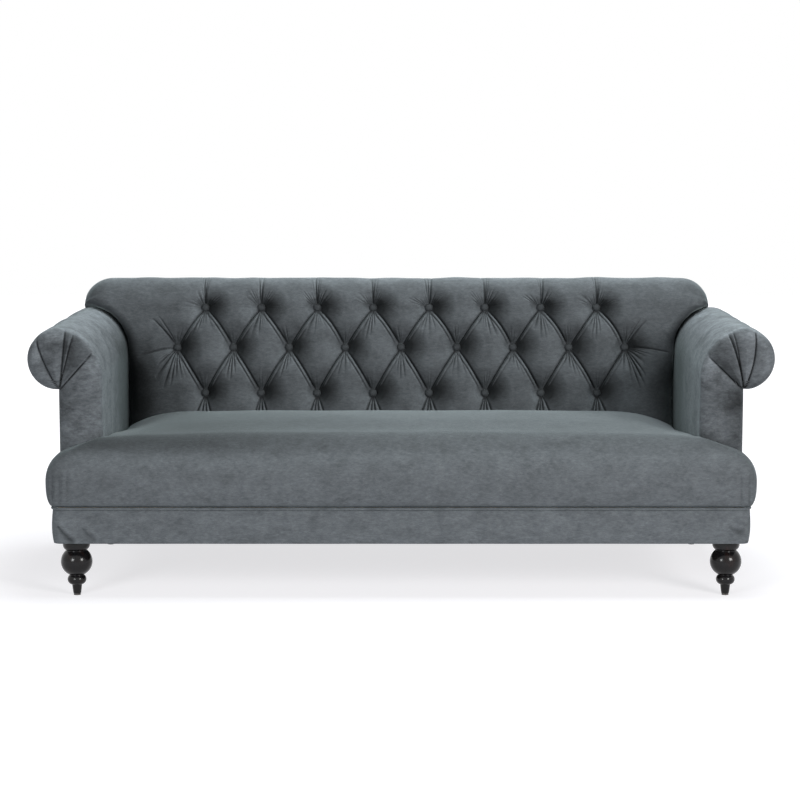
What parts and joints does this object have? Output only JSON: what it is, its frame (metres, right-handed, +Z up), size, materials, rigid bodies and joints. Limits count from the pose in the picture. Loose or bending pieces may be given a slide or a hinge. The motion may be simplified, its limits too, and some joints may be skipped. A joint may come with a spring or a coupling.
{
  "type": "three-seater sofa",
  "caption": "Scroll-arm sofa in dark grey velvet with a deep-buttoned diamond back, a tight T-shaped bench seat, a piped base border and turned black legs.",
  "frame": {"origin": "on the floor under the middle of the sofa's bounding box", "axes": "+X along the sofa (right when facing its front), +Y from front to back, +Z up"},
  "size_m": [1.932, 0.8667, 0.7679],
  "materials": {
    "velvet": "matte",
    "black_lacquer": "gloss",
    "hardwood": "matte",
    "lining_board": "matte",
    "foam": "matte",
    "jute": "matte",
    "cambric": "matte",
    "steel": "satin",
    "nylon": "matte"
  },
  "bodies": {
    "root": {"back_cover": "velvet", "back_foam": "foam", "back_hessian": "jute", "back_level_webbing": "jute", "back_lower_rails": "hardwood", "back_roll_former": "lining_board", "back_roll_ribs": "hardwood", "back_stiles": "hardwood", "back_top_rail": "hardwood", "back_upright_webbing": "jute", "base_border": "velvet", "base_dowels": "hardwood", "base_welt": "velvet", "bottom_row_buttons": "velvet", "button_twines": "jute", "corner_block_screws": "steel", "corner_blocks": "hardwood", "dust_cover": "cambric", "front_left_leg": "black_lacquer", "front_right_leg": "black_lacquer", "front_seat_rail": "hardwood", "left_arm_cover": "velvet", "left_arm_foam": "foam", "left_arm_former": "lining_board", "left_arm_front_board": "hardwood", "left_arm_rails": "hardwood", "left_arm_rear_board": "hardwood", "left_back_post": "hardwood", "left_outside_arm_panel": "velvet", "left_seat_rail": "hardwood", "leg_bolts": "steel", "leg_glides": "nylon", "leg_nuts": "steel", "middle_row_buttons": "velvet", "outside_back_panel": "velvet", "post_dowels": "hardwood", "rear_left_leg": "black_lacquer", "rear_right_leg": "black_lacquer", "rear_seat_rail": "hardwood", "right_arm_cover": "velvet", "right_arm_foam": "foam", "right_arm_former": "lining_board", "right_arm_front_board": "hardwood", "right_arm_rails": "hardwood", "right_arm_rear_board": "hardwood", "right_back_post": "hardwood", "right_outside_arm_panel": "velvet", "right_seat_rail": "hardwood", "seat_cover": "velvet", "seat_cross_rails": "hardwood", "seat_edge_strip": "hardwood", "seat_foam": "foam", "seat_hessian": "jute", "seat_springs": "steel", "spring_clips": "steel", "top_row_buttons": "velvet", "twine_pegs": "hardwood"}
  },
  "joints": []
}
